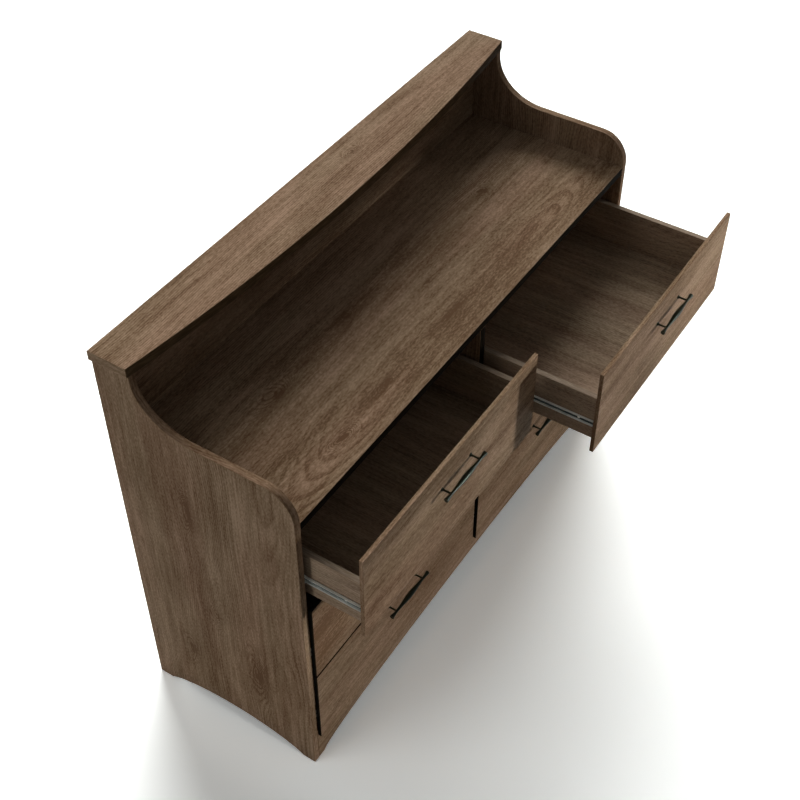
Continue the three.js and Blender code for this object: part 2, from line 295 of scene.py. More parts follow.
oakSides = makeOak(
    "oakSides", boardFinish,
    knots=[(0.455, 0.308, 0.05, 0.022), (0.505, 0.195, 0.03, 0.014), (0.36, 0.07, 0.03, 0.014),
           (0.335, 0.142, 0.12, 0.05), (0.20, 0.055, 0.26, 0.07), (0.17, 0.225, 0.2, 0.05),
           (0.62, 0.175, 0.16, 0.04)],
    tonePatchesAndPaintedLight=[(0.55, 0.075, 0.5, 0.045, 0.13), (0.48, 0.27, 0.5, 0.05, 0.12), (0.17, 0.052, 0.32, 0.08, -0.12),
            (0.2, 0.225, 0.3, 0.07, -0.10), (0.08, 0.127, 0.24, 0.05, 0.10), (0.66, 0.18, 0.4, 0.1, -0.08)])
# The shelf's last patch, light over the whole board, is painted light
oakShelf = makeOak(
    "oakShelf", boardFinish,
    knots=[(-0.37, 0.302, 0.03, 0.014), (0.09, 0.297, 0.1, 0.03), (0.355, 0.306, 0.028, 0.014)],
    tonePatchesAndPaintedLight=[(-0.5, 0.30, 0.3, 0.02, -0.10), (0.1, 0.30, 0.5, 0.05, -0.08), (-0.2, 0.32, 0.5, 0.02, 0.06),
            (0.1, 0.34, 4.0, 0.3, 0.11)])
oakUpperFront = makeOak(
    "oakUpperFront", boardFinish,
    knots=[(-0.55, 0.572, 0.09, 0.03)],
    tonePatchesAndPaintedLight=[(-0.55, 0.57, 0.14, 0.06, -0.10), (-0.46, 0.692, 0.22, 0.04, -0.12), (-0.38, 0.59, 0.7, 0.07, 0.17)])
# The upper right front's one patch, light over the whole board, is painted light
oakUpperRightFront = makeOak("oakUpperRightFront", boardFinish, tonePatchesAndPaintedLight=[(0.32, 0.64, 1.8, 0.18, 0.17)])
# On the lower left front, the broad dark patch over its right part is painted shade and the light patch at its left
# end is painted light
oakLowerFront = makeOak(
    "oakLowerFront", boardFinish,
    knots=[(-0.0475, 0.204, 0.03, 0.016), (-0.516, 0.126, 0.08, 0.03)],
    tonePatchesAndPaintedLight=[(-0.51, 0.126, 0.16, 0.07, -0.10), (-0.3, 0.25, 0.5, 0.05, 0.05), (-0.16, 0.17, 0.6, 0.4, -0.16),
            (-0.52, 0.21, 0.35, 0.07, 0.12)])
# Both patches on the middle left front are painted shade: one darkens its left end, the other a broad area over its
# right part
oakMiddleFront = makeOak(
    "oakMiddleFront", boardFinish, tonePatchesAndPaintedLight=[(-0.57, 0.42, 0.3, 0.5, -0.34), (-0.16, 0.42, 0.35, 0.3, -0.12)])
frontOaks = {"upper_left": oakUpperFront, "upper_right": oakUpperRightFront, "middle_left": oakMiddleFront,
             "lower_left": oakLowerFront}
oakDrawers = makeOak("oakDrawers", drawerFinish)


# Powder coat on the handles: fine orange peel and a little thinning of the coat where the noise is high

def makeBlackBronze(finish):
    material, tree, shader = newMaterial("blackBronze")
    place = addNode(tree, "TexCoord").outputs["Object"]
    peel = noise(tree, place, finish["peelScale"])
    worn = remap(tree, noise(tree, place, finish["wornScale"], 4.0, 0.65), 0.6, 0.8)
    colour = mixColours(tree, worn, (*finish["coat"], 1), (*finish["thin"], 1))
    dressShader(tree, shader, colour, peel, finish)
    shader.inputs["Specular Tint"].default_value = finish["tint"]
    return material


blackBronze = makeBlackBronze({"coat": (0.0045, 0.0068, 0.0050), "thin": (0.009, 0.014, 0.010), "peelScale": 900.0,
                               "wornScale": 120.0, "roughness": (0.32, 0.44), "relief": 0.12, "reliefDepth": 0.0001,
                               "sheen": 0.55, "tint": (0.86, 1.0, 0.78, 1)})


# Zinc plated steel: drawn lines along the slide and a faint cloudy tint. The large faces inside each channel are dark.

def makeZincSteel(name, finish):
    material, tree, shader = newMaterial(name)
    place = addNode(tree, "TexCoord").outputs["Object"]
    drawn = noise(tree, vectorMaths(tree, "MULTIPLY", place, finish["drawnScale"]), 1.0)
    cloud = noise(tree, place, finish["cloudScale"], 3.0)
    colour = mixColours(tree, remap(tree, cloud, 0.35, 0.7), (*finish["bright"], 1), (*finish["dull"], 1))
    dressShader(tree, shader, colour, drawn, finish)
    shader.inputs["Metallic"].default_value = finish["metallic"]
    return material


steelFinish = {"drawnScale": (2600.0, 14.0, 2600.0), "cloudScale": 40.0, "relief": 0.2, "reliefDepth": 0.00005,
               "sheen": 0.5, "metallic": 0.3}
zincSteel = makeZincSteel("zincSteel", {**steelFinish, "bright": (0.90, 0.90, 0.83), "dull": (0.70, 0.72, 0.66),
                                        "roughness": (0.26, 0.42)})
darkChannelInside = makeZincSteel("darkChannelInside", {**steelFinish, "bright": (0.060, 0.078, 0.073),
                                            "dull": (0.030, 0.042, 0.039), "roughness": (0.35, 0.5)})


# Edge finishes: nearly black painted shade on the carcase's front edges and round the lower and middle fronts, dark
# brown painted shade on the shelf's front edge, pale tape on the drawer boxes. Short streaks run along each edge; on
# the box tape they are where the print has rubbed thin.

def makeEdgeTapeAndShade(name, finish):
    material, tree, shader = newMaterial(name)
    grain = addNode(tree, "Attribute", attribute_name="grain").outputs["Vector"]
    streaks = noise(tree, vectorMaths(tree, "MULTIPLY", grain, finish["streakScale"]), 1.0, 3.0)
    colour = mixColours(tree, remap(tree, streaks, 0.35, 0.75), (*finish["dark"], 1), (*finish["streaked"], 1))
    dressShader(tree, shader, colour, streaks, finish)
    return material


tapeAndShadeFinish = {"streakScale": (45.0, 420.0, 1.0), "roughness": (0.6, 0.5), "relief": 0.2, "reliefDepth": 0.0002,
              "sheen": 0.1}
frontEdgePaintedShade = makeEdgeTapeAndShade("frontEdgePaintedShade", {**tapeAndShadeFinish, "dark": (0.0045, 0.0036, 0.0026),
                                       "streaked": (0.011, 0.0085, 0.0055), "sheen": 0.02})
shelfEdgePaintedShade = makeEdgeTapeAndShade("shelfEdgePaintedShade", {**tapeAndShadeFinish, "dark": (0.060, 0.036, 0.016), "streaked": (0.125, 0.080, 0.040)})
boxTape = makeEdgeTapeAndShade("boxTape", {**tapeAndShadeFinish, "dark": (0.175, 0.130, 0.090), "streaked": (0.270, 0.210, 0.155)})


# Hardboard of the back: fine pressed fibres in every direction

def makeHardboard(finish):
    material, tree, shader = newMaterial("hardboard")
    place = addNode(tree, "TexCoord").outputs["Object"]
    flecks = noise(tree, vectorMaths(tree, "MULTIPLY", place, (1.0, 1.0, 0.7)), finish["fleckScale"], 5.0, 0.7)
    cloud = noise(tree, place, finish["cloudScale"], 3.0)
    colour = mixColours(tree, remap(tree, flecks, 0.3, 0.7), (*finish["dark"], 1), (*finish["light"], 1))
    colour = mixColours(tree, remap(tree, cloud, 0.35, 0.75, 0.0, 0.3), colour, (*finish["stain"], 1))
    dressShader(tree, shader, colour, flecks, finish)
    return material


hardboard = makeHardboard({"dark": (0.16, 0.095, 0.052), "light": (0.27, 0.175, 0.10), "stain": (0.15, 0.09, 0.05),
                           "fleckScale": 420.0, "cloudScale": 5.0, "roughness": (0.6, 0.8), "relief": 0.3,
                           "reliefDepth": 0.0002, "sheen": 0.5})
print("materials made")


# Outlines, as arrays of points in metres going anticlockwise

def arc(centre, radii, start, end, steps):
    # point(angle) = centre + (rx cos angle, ry sin angle), angles in degrees
    angles = np.radians(np.linspace(start, end, steps + 1))
    return np.stack([centre[0] + radii[0] * np.cos(angles), centre[1] + radii[1] * np.sin(angles)], 1)


def rectangle(low, high):
    return np.array([(low[0], low[1]), (high[0], low[1]), (high[0], high[1]), (low[0], high[1])], float)


def easedCorners(points, radius, steps=3):
    # Each corner P becomes a quadratic curve from P + r a to P + r b, with a and b the unit ways to its neighbours
    before = np.roll(points, 1, 0) - points
    after = np.roll(points, -1, 0) - points
    lengthBefore = np.linalg.norm(before, axis=1, keepdims=True)
    lengthAfter = np.linalg.norm(after, axis=1, keepdims=True)
    reach = np.minimum(radius, 0.4 * np.minimum(lengthBefore, lengthAfter))
    first = points + before / lengthBefore * reach
    last = points + after / lengthAfter * reach
    t = np.linspace(0, 1, steps + 1)[None, :, None]
    curve = (1 - t) ** 2 * first[:, None] + 2 * t * (1 - t) * points[:, None] + t ** 2 * last[:, None]
    return curve.reshape(-1, 2)


def lowArch(start, end, rise, fullness, steps=64):
    # height(u) = rise (1 - u^2)^fullness, with u from -1 to 1 between the two feet
    u = -np.cos(np.linspace(0, pi, steps + 1))
    x = (start + end) / 2 + (end - start) / 2 * u
    return np.stack([x, rise * np.clip(1 - u ** 2, 0, None) ** fullness], 1)


def insetOutline(points, distance):
    # Each point moves along the mitre of its two edges' inward normals
    ahead = np.roll(points, -1, 0) - points
    ahead /= np.linalg.norm(ahead, axis=1, keepdims=True)
    behind = np.roll(ahead, 1, 0)
    inwardAhead = np.stack([-ahead[:, 1], ahead[:, 0]], 1)
    inwardBehind = np.stack([-behind[:, 1], behind[:, 0]], 1)
    mitre = inwardAhead + inwardBehind
    mitre /= (1 + (inwardAhead * inwardBehind).sum(1, keepdims=True)).clip(0.3)
    return points + distance * mitre


# Closed rings of points, one after another: quads between neighbouring rings

def ringWalls(rings, sides):
    ringIndex, sideIndex = np.meshgrid(np.arange(rings - 1), np.arange(sides), indexing="ij")
    ringIndex, sideIndex = ringIndex.ravel(), sideIndex.ravel()
    nextSide = (sideIndex + 1) % sides
    walls = np.stack([ringIndex * sides + sideIndex, ringIndex * sides + nextSide,
                      (ringIndex + 1) * sides + nextSide, (ringIndex + 1) * sides + sideIndex], 1)
    return walls, ringIndex, sideIndex


def polarFaces(rings, sides, flipped=False):
    # The walls, and a fan at each end; the two poles are the last two points
    walls = ringWalls(rings, sides)[0]
    around = np.arange(sides)
    following = (around + 1) % sides
    last = (rings - 1) * sides
    fans = np.concatenate([np.stack([np.full(sides, rings * sides), following, around], 1),
                           np.stack([np.full(sides, rings * sides + 1), last + around, last + following], 1)])
    if flipped:
        walls, fans = walls[:, [0, 3, 2, 1]], fans[:, [0, 2, 1]]
    return walls.tolist() + fans.tolist()


# A board: its outline in the plane of two axes, given a thickness along the third, with eased edges.
# The edge is a quarter round: inset = r (1 - sin a), depth = r (1 - cos a), a from 0 to 90 degrees.
# Easing holds r in metres; the middle and lower fronts have more of it, because their gap looks wide.
# Outline steps shorter than curvedStep are shaded smooth. A board's walls take their grain from a seed of their own.

easing = {"corner": 0.0008, "boxCorner": 0.0007, "edge": 0.0006, "panelEdge": 0.0009, "bottomEdge": 0.0003,
          "lowerFrontEdge": 0.0014, "steelEdge": 0.0002}
curvedStep = 0.004
wallSeed = 0.37
axisPairs = {"xy": (0, 1, 2), "yz": (1, 2, 0), "xz": (0, 2, 1)}
tapedAndShadedEdges = {"front": lambda normal: normal.y < -0.93, "top": lambda normal: normal.z > 0.93,
              "round": lambda normal: abs(normal.y) < 0.98}


def makeBoard(name, outline, low, high, plane, grainAlong, seed, material, edge=easing["edge"], steps=3, edgeTapeAndShade=None):
    # The edge cover is a pair: where it sits, from the table of edges, and its material, which is pale tape on the
    # drawer boxes and painted shade on the other edges
    first, second, third = axisPairs[plane]
    count = len(outline)
    edge = min(edge, 0.35 * (high - low))
    angles = np.linspace(0, pi / 2, steps + 1)
    insets = edge * (1 - np.sin(angles))
    depths = edge * (1 - np.cos(angles))
    insets = np.concatenate([insets, insets[::-1]])
    levels = np.concatenate([low + depths, high - depths[::-1]])
    rings = len(levels)
    places = np.zeros((rings, count, 3))
    for ring in range(rings):
        places[ring][:, [first, second]] = insetOutline(outline, insets[ring])
        places[ring][:, third] = levels[ring]

    walls, ringIndex, pointIndex = ringWalls(rings, count)
    step = np.linalg.norm(np.roll(outline, -1, 0) - outline, axis=1)
    run = np.concatenate([[0], np.cumsum(step)])
    wallRun = np.stack([run[pointIndex], run[pointIndex + 1], run[pointIndex + 1], run[pointIndex]], 1)
    wallLevel = np.stack([levels[ringIndex], levels[ringIndex], levels[ringIndex + 1], levels[ringIndex + 1]], 1)
    seeds = np.full_like(wallRun, seed + wallSeed)
    alongAcross = (wallLevel, wallRun) if grainAlong == "third" else (wallRun, wallLevel)
    wallGrain = np.stack([*alongAcross, seeds], 2)
    bottomCap = np.arange(count)[::-1]
    topCap = (rings - 1) * count + np.arange(count)
    capGrain = []
    for cap in (bottomCap, topCap):
        flat = places.reshape(-1, 3)[cap][:, [first, second]]
        pair = flat[:, ::-1] if grainAlong == "second" else flat
        capGrain.append(np.column_stack([pair, np.full(count, seed)]))
    if plane == "xz":
        walls = walls[:, ::-1]
        wallGrain = wallGrain[:, ::-1]
        bottomCap, topCap = bottomCap[::-1], topCap[::-1]
        capGrain = [grain[::-1] for grain in capGrain]

    mesh = bpy.data.meshes.new(name)
    mesh.from_pydata(places.reshape(-1, 3), [], walls.tolist() + [bottomCap.tolist(), topCap.tolist()])
    grainValues = np.concatenate([wallGrain.reshape(-1, 3), *capGrain]).astype(np.float32)
    mesh.attributes.new("grain", "FLOAT_VECTOR", "CORNER").data.foreach_set("vector", grainValues.ravel())
    smooth = np.append(step[pointIndex] < curvedStep, [False, False])
    mesh.polygons.foreach_set("use_smooth", smooth)
    mesh.materials.append(material)
    mesh.update()
    if edgeTapeAndShade:
        where, tapeAndShadeMaterial = edgeTapeAndShade
        mesh.materials.append(tapeAndShadeMaterial)
        for polygon in mesh.polygons:
            polygon.material_index = int(tapedAndShadedEdges[where](polygon.normal))
    return addObject(name, mesh)


def settle(piece, body, nodes=()):
    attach(piece, body)
    if nodes:
        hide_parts(*nodes)


def plainBoard(node, body, plane, grainAlong, seed, material=oakBoards, slot="oak_veneer", edge=easing["edge"],
               edgeTapeAndShade=None):
    first, second, third = axisPairs[plane]
    low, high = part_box(node)
    outline = easedCorners(rectangle((low[first], low[second]), (high[first], high[second])), easing["corner"])
    board = makeBoard(node + "_board", outline, low[third], high[third], plane, grainAlong, seed, material, edge,
                      edgeTapeAndShade=edgeTapeAndShade)
    settle(board, body, [node])
    return board


# Side panels: rounded front corner, flat crest, sweep up to the shelf, arched foot
sidePanel = {"thickness": 15, "crestRise": 68, "cornerLength": 60, "cornerDrop": 65, "sweepLength": 110,
             "sweepUpright": 11, "shelfOverhang": 82, "frontFoot": 29, "backFoot": 33, "archRise": 34,
             "archFullness": 0.75, "sweepSteps": 40, "cornerSteps": 32,
             "seeds": {"side_left": 3.1, "side_right": 7.7}}


def sideOutline(low, high, size):
    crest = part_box("main_top")[1].z + size["crestRise"] * mm
    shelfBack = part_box("top_shelf")[1].y
    sweepFoot = shelfBack - size["shelfOverhang"] * mm
    sweepTop = high.z - size["sweepUpright"] * mm
    sweepStart = sweepFoot - size["sweepLength"] * mm
    corner = (low.y + size["cornerLength"] * mm, crest - size["cornerDrop"] * mm)
    foot = lowArch(low.y + size["frontFoot"] * mm, high.y - size["backFoot"] * mm, size["archRise"] * mm,
                   size["archFullness"])
    sweep = arc((sweepStart, sweepTop), (size["sweepLength"] * mm, sweepTop - crest), 0, -90, size["sweepSteps"])
    frontCorner = arc(corner, (size["cornerLength"] * mm, size["cornerDrop"] * mm), 90, 180, size["cornerSteps"])
    straight = np.array([(high.y, 0), (high.y, high.z), (sweepFoot, high.z)])
    return np.concatenate([foot, straight, sweep, frontCorner, [(low.y, 0)]])


for node, hand in (("side_left", -1), ("side_right", 1)):
    low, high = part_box(node)
    outer = low.x if hand < 0 else high.x
    inner = outer - hand * sidePanel["thickness"] * mm
    panel = makeBoard(node + "_panel", sideOutline(low, high, sidePanel), min(outer, inner), max(outer, inner),
                      "yz", "second", sidePanel["seeds"][node], oakSides, easing["panelEdge"])
    settle(panel, "carcase", [node])


# Top shelf: its front edge is one arc between the two front corners
topShelf = {"endDepth": 82, "bow": 41, "steps": 320, "seed": 5.3}


def shelfOutline(low, high, size):
    half = (high.x - low.x) / 2
    bow = size["bow"] * mm
    radius = (half ** 2 + bow ** 2) / (2 * bow)
    corner = high.y - size["endDepth"] * mm
    spread = np.degrees(np.arcsin(half / radius))
    front = arc(((low.x + high.x) / 2, corner - bow + radius), (radius, radius), -90 - spread, -90 + spread,
                size["steps"])
    return np.concatenate([front, [(high.x, high.y), (low.x, high.y)]])


low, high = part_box("top_shelf")
# The shelf's front edge is dark brown painted shade
shelf = makeBoard("top_shelf_board", shelfOutline(low, high, topShelf), low.z, high.z, "xy", "first",
                  topShelf["seed"], oakShelf, easing["panelEdge"], edgeTapeAndShade=("front", shelfEdgePaintedShade))
settle(shelf, "carcase", ["top_shelf"])


# Base apron with its long low arch
apron = {"foot": 20, "archRise": 42, "archFullness": 0.5, "steps": 160, "seed": 9.2}

low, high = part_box("base_apron")
arch = lowArch(low.x + apron["foot"] * mm, high.x - apron["foot"] * mm, apron["archRise"] * mm,
               apron["archFullness"], apron["steps"])
apronOutline = np.concatenate([arch, [(high.x, 0), (high.x, high.z), (low.x, high.z), (low.x, 0)]])
settle(makeBoard("base_apron_board", apronOutline, low.y, high.y, "xz", "first", apron["seed"], oakBoards),
       "carcase", ["base_apron"])


# Plain carcase boards: plane, grain direction, seed
carcaseBoards = {
    "main_top": ("xy", "first", 1.4),
    "hutch_back": ("xz", "first", 4.6),
    "bottom_panel": ("xy", "first", 8.1),
    "rear_base_rail": ("xz", "first", 6.4),
}
# The front edges of the deck and the bottom panel are nearly black painted shade
for node, (plane, grainAlong, seed) in carcaseBoards.items():
    plainBoard(node, "carcase", plane, grainAlong, seed, oakDeck if node == "main_top" else oakBoards,
               edgeTapeAndShade=("front", frontEdgePaintedShade) if plane == "xy" else None)
plainBoard("back_panel", "carcase", "xz", "first", 2.2, hardboard)

partition = {"thickness": 18, "seed": 2.9}
low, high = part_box("centre_partition")
partitionHalf = partition["thickness"] * mm / 2
partitionOutline = easedCorners(rectangle((low.y, low.z), (high.y, high.z)), easing["corner"])
# The partition's front edge is nearly black painted shade, which darkens the gap between the fronts
board = makeBoard("centre_partition_board", partitionOutline, -partitionHalf, partitionHalf, "yz", "second",
                  partition["seed"], oakBoards, edgeTapeAndShade=("front", frontEdgePaintedShade))
settle(board, "carcase", ["centre_partition"])
print("carcase boards made")


# Drawers
rowNames = ("lower", "middle", "upper")
columnNames = ("left", "right")
drawerNames = [f"{row}_{column}" for row in rowNames for column in columnNames]
frontSeeds = {"lower_left": 11.3, "lower_right": 12.6, "middle_left": 13.8, "middle_right": 14.1,
              "upper_left": 15.5, "upper_right": 16.7}
boxSeeds = {"back": 20.3, "bottom": 30.7, "side": 40.1}
boxSide = {"grooveRise": 8, "grooveWidth": 3.6, "grooveDepth": 5}


def boxSideOutline(low, high, inward, size):
    outerX = low.x if inward > 0 else high.x
    innerX = high.x if inward > 0 else low.x
    grooveX = innerX - inward * size["grooveDepth"] * mm
    grooveLow = low.z + size["grooveRise"] * mm
    grooveHigh = grooveLow + size["grooveWidth"] * mm
    points = np.array([(outerX, low.z), (innerX, low.z), (innerX, grooveLow), (grooveX, grooveLow),
                       (grooveX, grooveHigh), (innerX, grooveHigh), (innerX, high.z), (outerX, high.z)])
    return easedCorners(points if inward > 0 else points[::-1], easing["boxCorner"])


for number, drawerName in enumerate(drawerNames):
    body = drawerName + "_drawer"
    # The middle and lower fronts' edges are nearly black painted shade all round
    edges = {"edge": easing["lowerFrontEdge"], "edgeTapeAndShade": ("round", frontEdgePaintedShade)}
    plainBoard(drawerName + "_front", body, "xz", "first", frontSeeds[drawerName],
               frontOaks.get(drawerName, oakBoards), **({} if drawerName.startswith("upper") else edges))
    plainBoard(drawerName + "_box_back", body, "xz", "first", boxSeeds["back"] + number, oakDrawers, "oak_drawer",
               edgeTapeAndShade=("top", boxTape))
    plainBoard(drawerName + "_box_bottom", body, "xy", "second", boxSeeds["bottom"] + number, oakDrawers,
               "oak_drawer", easing["bottomEdge"])
    for side, inward in (("left", 1), ("right", -1)):
        node = f"{drawerName}_box_{side}"
        low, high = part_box(node)
        board = makeBoard(node + "_board", boxSideOutline(low, high, inward, boxSide), low.y, high.y, "xz", "third",
                          boxSeeds["side"] + number + 0.5 * inward, oakDrawers, edgeTapeAndShade=("top", boxTape))
        settle(board, body, [node])
print("drawer boards made")


# Turned shapes: a profile of (radius, distance) carried round an axis. point = base + along a + radius (cos t, sin t)

def turned(profile, base, axis, sides):
    profile = np.array(profile, float)
    axis = np.array(axis, float)
    across = np.array((0.0, 0.0, 1.0)) if abs(axis[2]) < 0.5 else np.array((1.0, 0.0, 0.0))
    other = np.cross(axis, across)
    angles = np.linspace(0, 2 * pi, sides, endpoint=False)
    radial = np.cos(angles)[:, None] * across + np.sin(angles)[:, None] * other
    rings = profile[1:-1]
    places = base + rings[:, 1][:, None, None] * axis + rings[:, 0][:, None, None] * radial
    ends = [base + profile[0, 1] * axis, base + profile[-1, 1] * axis]
    points = np.concatenate([places.reshape(-1, 3), ends])
    return points, polarFaces(len(rings), sides)


def joinedPiece(name, shapes, material, sharpAngle=40):
    points, faces, offset = [], [], 0
    for shapePoints, shapeFaces in shapes:
        points.append(shapePoints)
        faces += [[index + offset for index in face] for face in shapeFaces]
        offset += len(shapePoints)
    mesh = bpy.data.meshes.new(name)
    mesh.from_pydata(np.concatenate(points), [], faces)
    mesh.materials.append(material)
    mesh.polygons.foreach_set("use_smooth", np.ones(len(mesh.polygons), bool))
    mesh.set_sharp_from_angle(angle=radians(sharpAngle))
    mesh.update()
    return addObject(name, mesh)


# Bar handle: radius = neck + (belly - neck) cos^2(pi s / 2) from the middle to a post, then a flare to a dished end.
# Each pair of the tip is how much less than the end's radius and the full length; drops are below the spindle.
handle = {"centres": 96, "overhang": 18.5, "standoff": 20.2, "belly": 5.6, "neck": 2.7, "end": 4.6, "sides": 40,
          "flarePower": 1.3, "tipLength": 1.2, "tip": [(0, 0.5), (0.25, 0.12), (0.7, 0), (1.3, 0.15), (2.0, 0.45)],
          "dish": 0.6, "post": 2.0, "postFoot": 4.2, "postFootHeight": 5.5, "footRim": 0.7, "footPower": 2.2,
          "collar": 2.5, "collarDrops": (6, 4.2, 2.4), "ease": 0.15, "postSides": 28, "postShare": 0.99, "seat": 0.3}


def spindleProfile(size):
    neck = size["centres"] / 2
    s = np.linspace(0, 1, 25)
    belly = np.stack([size["neck"] + (size["belly"] - size["neck"]) * np.cos(pi * s / 2) ** 2, neck * s], 1)
    t = np.linspace(0, 1, 11)[1:]
    flare = np.stack([size["neck"] + (size["end"] - size["neck"]) * t ** size["flarePower"],
                      neck + (size["overhang"] - size["tipLength"]) * t], 1)
    tip = neck + size["overhang"]
    end = np.array([(size["end"] - less, tip - short) for less, short in size["tip"]] + [(0, tip - size["dish"])])
    half = np.concatenate([belly, flare, end])
    mirrored = half[1:][::-1] * (1, -1)
    return np.concatenate([mirrored, half]) * mm


def postProfile(size):
    t = np.linspace(0, 1, 9)
    radius = size["post"] + (size["postFoot"] - size["post"]) * (1 - t) ** size["footPower"]
    height = size["footRim"] + (size["postFootHeight"] - size["footRim"]) * t
    flare = np.stack([radius, height], 1)
    top = size["standoff"]
    start, neck, rim = size["collarDrops"]
    collar = np.array([(size["post"], top - start), (size["post"] + size["ease"], top - neck),
                       (size["collar"], top - rim), (size["collar"], top), (0, top)])
    foot = np.array([(0, 0), (size["postFoot"] - size["ease"], 0), (size["postFoot"], size["ease"])])
    return np.concatenate([foot, flare, collar]) * mm


for drawerName in drawerNames:
    node = drawerName + "_handle"
    low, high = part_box(node)
    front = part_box(drawerName + "_front")
    middle = np.array(((low.x + high.x) / 2, front[0].y, (low.z + high.z) / 2))
    outward = np.array((0.0, -1.0, 0.0))
    shapes = [turned(spindleProfile(handle), middle + outward * handle["standoff"] * mm, (1, 0, 0), handle["sides"])]
    for hand in (-1, 1):
        base = middle + np.array((hand * handle["centres"] / 2 * mm, 0, 0)) + outward * handle["seat"] * mm
        shapes.append(turned(postProfile(handle) * (1, handle["postShare"]), base, outward, handle["postSides"]))
    piece = joinedPiece(node + "_casting", shapes, blackBronze)
    settle(piece, drawerName + "_drawer", [node])
print("handles made")


# Ball bearing slides: strips of steel bent to a channel, with a ball race pressed into each flange. In millimetres,
# but a face is dark where its normal's x passes raceFacing and its area, in square metres, passes raceArea.
slide = {"steel": 1.1, "gap": 0.3, "raceDip": 0.55, "channelOpening": 7.3, "channelHalf": 8, "bend": 1.0,
         "flangeRoot": 1.1, "flangePoints": 12, "bendSteps": 5, "raceFacing": 0.8, "raceArea": 0.0005,
         "screwShares": (0.09, 0.42, 0.86)}


def bentStrip(points, thickness):
    # The strip's outline is its middle line moved half a thickness to each side
    points = np.array(points, float)
    ahead = np.gradient(points, axis=0)
    ahead /= np.linalg.norm(ahead, axis=1, keepdims=True)
    normal = np.stack([-ahead[:, 1], ahead[:, 0]], 1) * thickness / 2
    return np.concatenate([points + normal, (points - normal)[::-1]])


def channelLine(webAt, flangeEnd, halfHeight, dip):
    # From one flange's edge, over its race and bend, down the web, and back out along the other flange.
    # race(share) = half height - dip sin^2(pi share)
    bend = slide["bend"]
    out = np.linspace(flangeEnd, webAt + slide["flangeRoot"], slide["flangePoints"])
    share = (out - out.min()) / (out.max() - out.min())
    race = halfHeight - dip * np.sin(pi * share) ** 2
    flange = np.stack([out, race], 1)
    corner = arc((webAt + bend, halfHeight - bend), (bend, bend), 90, 180, slide["bendSteps"])
    upper = np.concatenate([flange, corner])
    return np.concatenate([upper, (upper * (1, -1))[::-1]]) * mm


def steelChannel(name, faceX, outward, middleZ, yLow, yHigh, line, thickness):
    profile = bentStrip(line, thickness * mm) * (outward, 1) + (faceX, middleZ)
    area = np.sum(profile[:, 0] * np.roll(profile[:, 1], -1) - np.roll(profile[:, 0], -1) * profile[:, 1])
    if area < 0:
        profile = profile[::-1]
    channel = makeBoard(name, profile, yLow, yHigh, "xz", "third", 0.0, zincSteel, easing["steelEdge"], 1)
    channel.data.materials.append(darkChannelInside)
    for polygon in channel.data.polygons:
        isDarkInside = polygon.normal.x * outward > slide["raceFacing"] and polygon.area > slide["raceArea"]
        polygon.material_index = int(isDarkInside)
    return channel


# A pan head screw with a cross recess, its surface over a polar grid
screw = {"radius": 3.0, "height": 1.3, "recess": 0.7, "slot": 0.55, "slotReach": 1.7, "sides": 24,
         "rings": (0.12, 0.3, 0.42, 0.56, 0.62, 0.85, 0.96, 1.0)}
channelScrew = {**screw, "height": 0.9, "recess": 0.5}
handleScrew = {**screw, "radius": 4.0, "height": 2.0, "recess": 1.0, "slot": 0.7, "slotReach": 2.3}


def screwHead(base, axis, size):
    # height = h sqrt(1 - 0.8 r^2), less the recess where the point lies within the cross
    angles = np.linspace(0, 2 * pi, size["sides"], endpoint=False)
    r, a = np.meshgrid(size["rings"], angles, indexing="ij")
    height = size["height"] * np.sqrt(1 - 0.8 * r ** 2)
    u, v = r * size["radius"] * np.cos(a), r * size["radius"] * np.sin(a)
    inCross = (np.minimum(abs(u), abs(v)) < size["slot"]) & (np.hypot(u, v) < size["slotReach"])
    height = np.where(inCross, height - size["recess"], height)
    height[-1] = 0.0
    axis = np.array(axis, float)
    across = np.array((0.0, 0.0, 1.0))
    other = np.cross(axis, across)
    places = base + (u[..., None] * across + v[..., None] * other + height[..., None] * axis) * mm
    points = np.concatenate([places.reshape(-1, 3), [base + axis * (size["height"] - size["recess"]) * mm, base]])
    return points, polarFaces(len(size["rings"]), size["sides"], flipped=True)


def screwRow(x, outward, ends, z, size):
    start, end = ends[0].y, ends[1].y
    return [screwHead(np.array((x, start + share * (end - start), z)), (outward, 0, 0), size)
            for share in slide["screwShares"]]


for drawerName in drawerNames:
    body = drawerName + "_drawer"
    heads = []
    for side, outward in (("left", -1), ("right", 1)):
        node = f"{drawerName}_rail_{side}"
        low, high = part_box(node)
        boxLow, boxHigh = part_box(f"{drawerName}_box_{side}")
        faceX = boxLow.x if outward < 0 else boxHigh.x
        middleZ = (low.z + high.z) / 2
        webAt = slide["gap"] + slide["steel"] / 2
        flangeEnd = (high.x - low.x) / mm + slide["gap"]
        line = channelLine(webAt, flangeEnd, (high.z - low.z) / 2 / mm - slide["steel"] / 2, slide["raceDip"])
        rail = steelChannel(node + "_strip", faceX, outward, middleZ, low.y, high.y, line, slide["steel"])
        settle(rail, body, [node])
        heads += screwRow(faceX + outward * (slide["gap"] + slide["steel"]) * mm, outward, (low, high), middleZ, screw)
    settle(joinedPiece(drawerName + "_rail_screws", heads, zincSteel, 35), body)

